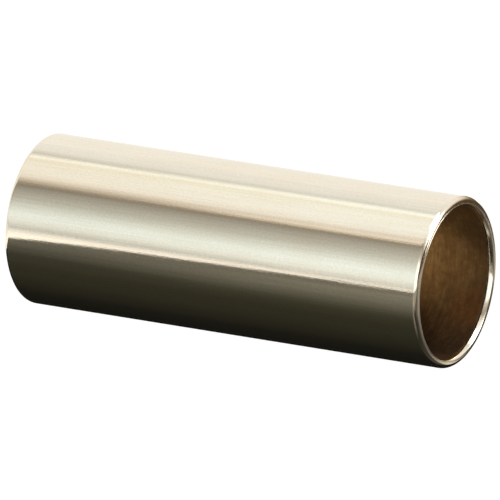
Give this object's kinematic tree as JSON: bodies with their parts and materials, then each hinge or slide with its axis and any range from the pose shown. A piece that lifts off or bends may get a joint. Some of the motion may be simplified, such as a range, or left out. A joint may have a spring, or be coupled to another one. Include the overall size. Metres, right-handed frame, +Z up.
{
  "type": "guitar slide",
  "caption": "Round thin-walled polished metal tube, open at both ends, with rounded lips, worn on a finger to slide along guitar strings.",
  "frame": {"origin": "on the surface the tube lies on, under the middle of its length", "axes": "+X along the tube's axis, +Z up, away from the surface it lies on"},
  "size_m": [0.06, 0.0222, 0.0222],
  "materials": {
    "polished_metal": "polished"
  },
  "bodies": {
    "root": {"slide_tube": "polished_metal"}
  },
  "joints": []
}
